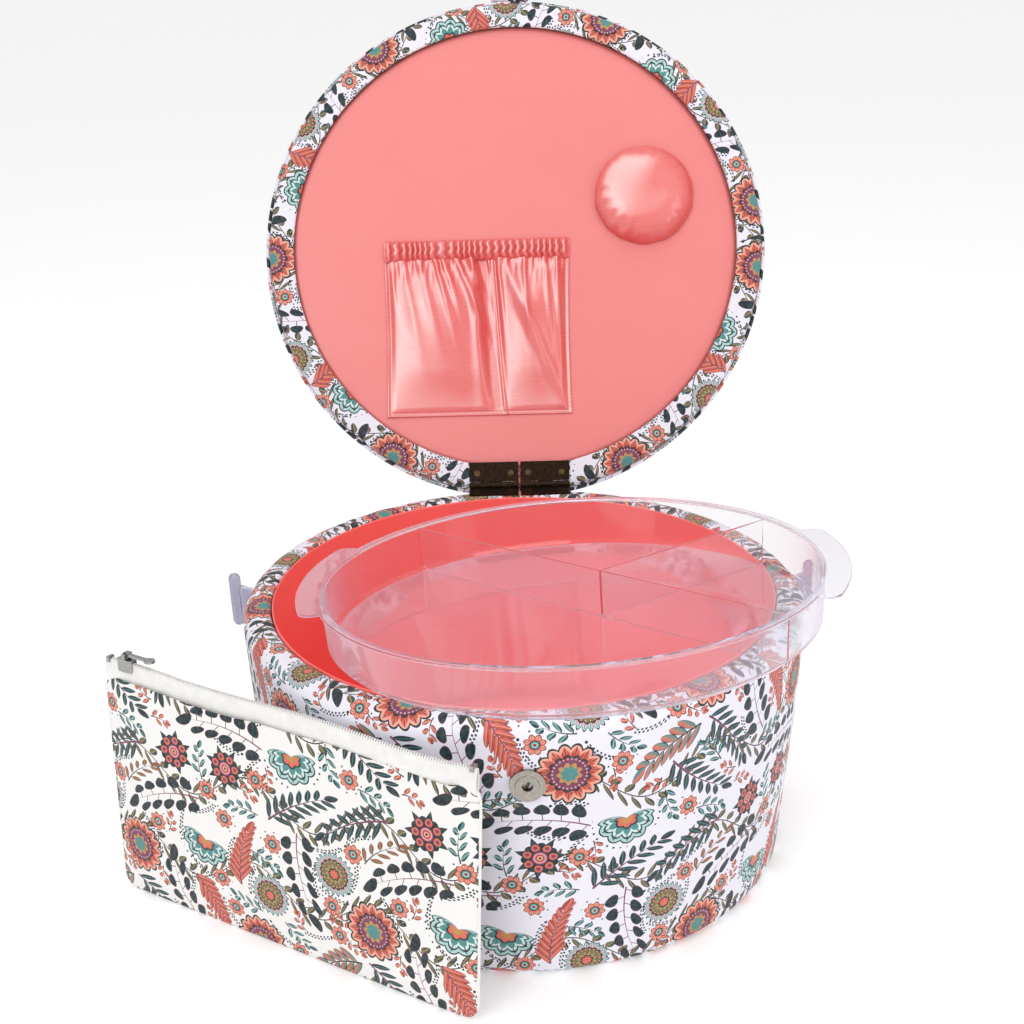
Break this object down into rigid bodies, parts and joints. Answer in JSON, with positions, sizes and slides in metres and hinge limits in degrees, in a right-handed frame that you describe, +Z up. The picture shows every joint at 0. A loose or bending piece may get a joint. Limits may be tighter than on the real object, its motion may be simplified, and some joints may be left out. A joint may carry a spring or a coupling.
{
  "type": "sewing basket",
  "caption": "Round padded fabric sewing basket with a hinged lid, lid pocket and pincushion, clear divided tray and a zip pouch.",
  "frame": {"origin": "centre of the basket's base, on the surface it stands on", "axes": "+Z up, -Y the front with the snap, +Y the back with the lid hinges, +X the basket's right-hand side seen from the front"},
  "size_m": [0.3923, 0.5278, 0.4219],
  "materials": {
    "board": "satin",
    "print_cloth": "satin",
    "coral_satin": "satin",
    "clear_plastic": "polished",
    "nickel": "satin",
    "antique_brass": "satin",
    "zinc_steel": "satin",
    "magnet": "satin",
    "zip_tape": "satin",
    "zip_nylon": "satin"
  },
  "bodies": {
    "basket": {"base_board": "board", "wall_board": "board", "body_cover": "print_cloth", "base_cover": "print_cloth", "wall_lining": "coral_satin", "floor_pad": "coral_satin", "handle_post_left": "clear_plastic", "handle_post_right": "clear_plastic", "post_screws": "zinc_steel", "post_washers": "zinc_steel", "snap_socket": "nickel", "snap_magnet": "magnet", "snap_prong_plate": "nickel", "snap_backing": "nickel", "hinge_lower_leaf_left": "antique_brass", "hinge_lower_leaf_right": "antique_brass", "hinge_pin_left": "antique_brass", "hinge_pin_right": "antique_brass", "hinge_lower_rivets": "antique_brass"},
    "lid": {"hinge_upper_leaf_left": "antique_brass", "hinge_upper_leaf_right": "antique_brass", "hinge_upper_rivets": "antique_brass", "lid_cover": "print_cloth", "lid_piping": "print_cloth", "lid_ring": "board", "lid_board": "board", "lid_lining": "coral_satin", "lid_pocket": "coral_satin", "pocket_elastic": "coral_satin", "pincushion": "coral_satin"},
    "tab": {"closure_tab": "print_cloth", "tab_snap": "nickel"},
    "tray": {"tray": "clear_plastic"},
    "pouch": {"pouch_front": "print_cloth", "pouch_back": "print_cloth", "zip_tape_front": "zip_tape", "zip_tape_back": "zip_tape", "zip_coil": "zip_nylon", "zip_stops": "nickel"},
    "zip_slider": {"zip_slider": "nickel"},
    "zip_pull": {"zip_pull": "nickel"}
  },
  "joints": [
    {"name": "lid_hinge", "type": "hinge", "parent": "basket", "child": "lid", "pos_m": [0, 0.1526, 0.152], "axis": [1, 0, 0], "range_deg": [0, 120]},
    {"name": "tab_fold", "type": "hinge", "parent": "lid", "child": "tab", "pos_m": [0, 0.3148, 0.42093], "axis": [1, 0, 0], "range_deg": [0, 208]},
    {"name": "tray_slide", "type": "slide", "parent": "basket", "child": "tray", "axis": [0.4852, -0.8682, 0.1038], "range_m": [0, 0.301]},
    {"name": "pouch_slide", "type": "slide", "parent": "basket", "child": "pouch", "axis": [-0.521, -0.8536, 0], "range_m": [0, 0.08]},
    {"name": "slider_slide", "type": "slide", "parent": "pouch", "child": "zip_slider", "axis": [0.8536, -0.521, 0], "range_m": [0, 0.204]},
    {"name": "pull_flip", "type": "hinge", "parent": "zip_slider", "child": "zip_pull", "pos_m": [-0.20598, -0.05667, 0.14394], "axis": [0.5194, 0.8509, -0.0785], "range_deg": [-180, 0]}
  ],
  "couplings": [
    {"joint": "tray_slide", "follows": "lid_hinge", "m_per_rad": 0.14324}
  ]
}
